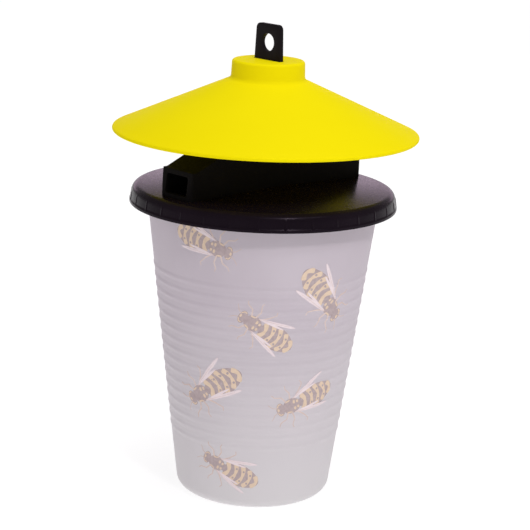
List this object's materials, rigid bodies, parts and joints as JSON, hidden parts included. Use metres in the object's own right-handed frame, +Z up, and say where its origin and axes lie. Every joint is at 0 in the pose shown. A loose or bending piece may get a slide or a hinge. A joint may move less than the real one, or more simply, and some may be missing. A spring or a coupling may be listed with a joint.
{
  "type": "wasp trap",
  "caption": "Hanging wasp trap: frosted ribbed bait cup, push-fit lid, entrance bridge over a funnel, conical rain roof and hanger strap.",
  "frame": {"origin": "centre of the cup's foot, on the surface that the trap stands on", "axes": "+Z up along the cup's axis, +X along the entrance tunnel and through the hanging hole, Y across the hanger strap"},
  "size_m": [0.128, 0.128, 0.2006],
  "materials": {
    "cup_plastic": "frosted translucent",
    "lid_plastic": "polished",
    "funnel_plastic": "satin",
    "bridge_plastic": "fine matt texture",
    "strap_plastic": "satin",
    "roof_plastic": "satin"
  },
  "bodies": {
    "cup": {"cup": "cup_plastic"},
    "lid": {"lid": "lid_plastic", "entrance_bridge": "bridge_plastic", "hanger_strap": "strap_plastic"},
    "funnel": {"entry_funnel": "funnel_plastic"},
    "roof": {"roof": "roof_plastic"}
  },
  "joints": [
    {"name": "lid_lift", "type": "slide", "parent": "cup", "child": "lid", "axis": [0, 0, 1], "range_m": [0, 0.04]},
    {"name": "roof_lift", "type": "slide", "parent": "lid", "child": "roof", "axis": [0, 0, 1], "range_m": [0, 0.05]},
    {"name": "funnel_pull", "type": "slide", "parent": "lid", "child": "funnel", "axis": [0, 0, -1], "range_m": [0, 0.02]}
  ]
}
